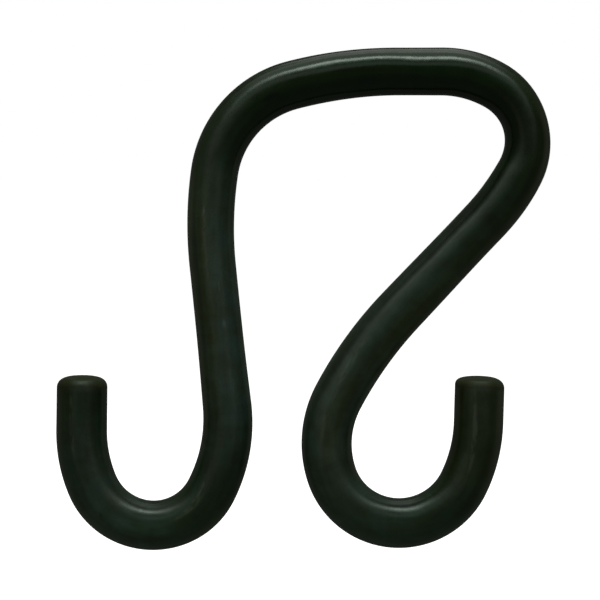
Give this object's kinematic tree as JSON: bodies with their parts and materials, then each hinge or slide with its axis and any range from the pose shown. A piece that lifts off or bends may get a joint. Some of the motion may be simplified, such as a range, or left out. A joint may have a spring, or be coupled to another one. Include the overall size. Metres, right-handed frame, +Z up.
{
  "type": "bucket hook",
  "caption": "Bent round rod with a plastic coat: a crown loop hangs on a rail and open J hooks below it carry buckets by their handles.",
  "frame": {"origin": "the rail seat: the point on the underside of the crown that bears on the rail", "axes": "+Z up as the hook hangs, +X towards the side where the crown turns tightest, Y across the rod's plane"},
  "size_m": [0.1233, 0.012, 0.1261],
  "materials": {
    "plastic_coat": "dark green dipped plastic coat, satin, with slight waves and handling marks"
  },
  "bodies": {
    "root": {"bucket_hook": "plastic_coat"}
  },
  "joints": []
}
